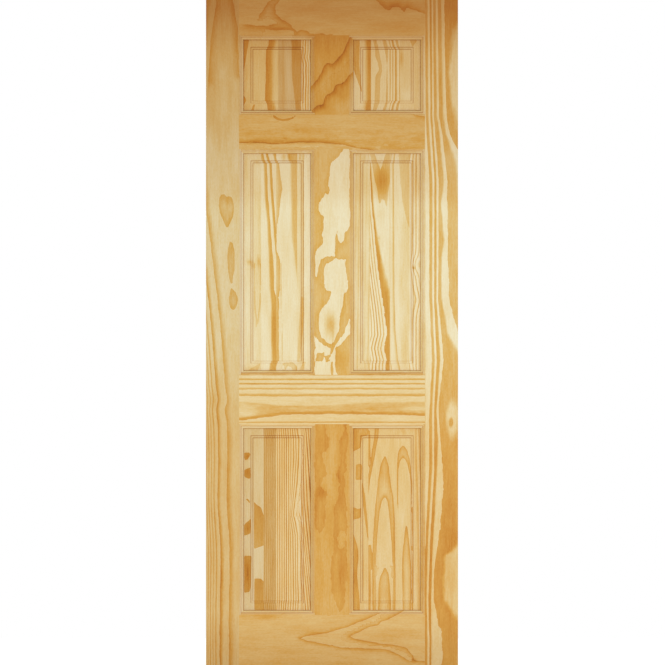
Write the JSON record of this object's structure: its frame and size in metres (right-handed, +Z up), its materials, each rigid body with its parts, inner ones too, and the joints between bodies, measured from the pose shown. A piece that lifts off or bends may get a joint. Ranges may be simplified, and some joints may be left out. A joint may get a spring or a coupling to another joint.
{
  "type": "six-panel door",
  "caption": "Softwood door leaf of stiles, rails and muntins with ovolo-moulded edges around raised double-hip panels, hung by its stile edge to close a doorway",
  "frame": {"origin": "foot of the hinge edge, the left stile's outer face, at mid-thickness", "axes": "+X across the leaf from the hinge edge, +Y through the thickness from front to back, +Z up"},
  "size_m": [0.762, 0.035, 2.032],
  "materials": {
    "pine_frame": "sanded pine, clear satin",
    "pine_panel": "sanded pine, clear satin"
  },
  "bodies": {
    "root": {"bottom_rail": "pine_frame", "frieze_rail": "pine_frame", "left_stile": "pine_frame", "lock_rail": "pine_frame", "lower_left_panel_stave_1": "pine_panel", "lower_left_panel_stave_2": "pine_panel", "lower_left_panel_stave_3": "pine_panel", "lower_muntin": "pine_frame", "lower_right_panel_stave_1": "pine_panel", "lower_right_panel_stave_2": "pine_panel", "lower_right_panel_stave_3": "pine_panel", "middle_left_panel_stave_1": "pine_panel", "middle_left_panel_stave_2": "pine_panel", "middle_left_panel_stave_3": "pine_panel", "middle_left_panel_stave_4": "pine_panel", "middle_muntin": "pine_frame", "middle_right_panel_stave_1": "pine_panel", "middle_right_panel_stave_2": "pine_panel", "middle_right_panel_stave_3": "pine_panel", "middle_right_panel_stave_4": "pine_panel", "right_stile": "pine_frame", "top_rail": "pine_frame", "upper_left_panel_stave_1": "pine_panel", "upper_left_panel_stave_2": "pine_panel", "upper_left_panel_stave_3": "pine_panel", "upper_muntin": "pine_frame", "upper_right_panel_stave_1": "pine_panel", "upper_right_panel_stave_2": "pine_panel", "upper_right_panel_stave_3": "pine_panel", "upper_right_panel_stave_4": "pine_panel"}
  },
  "joints": []
}
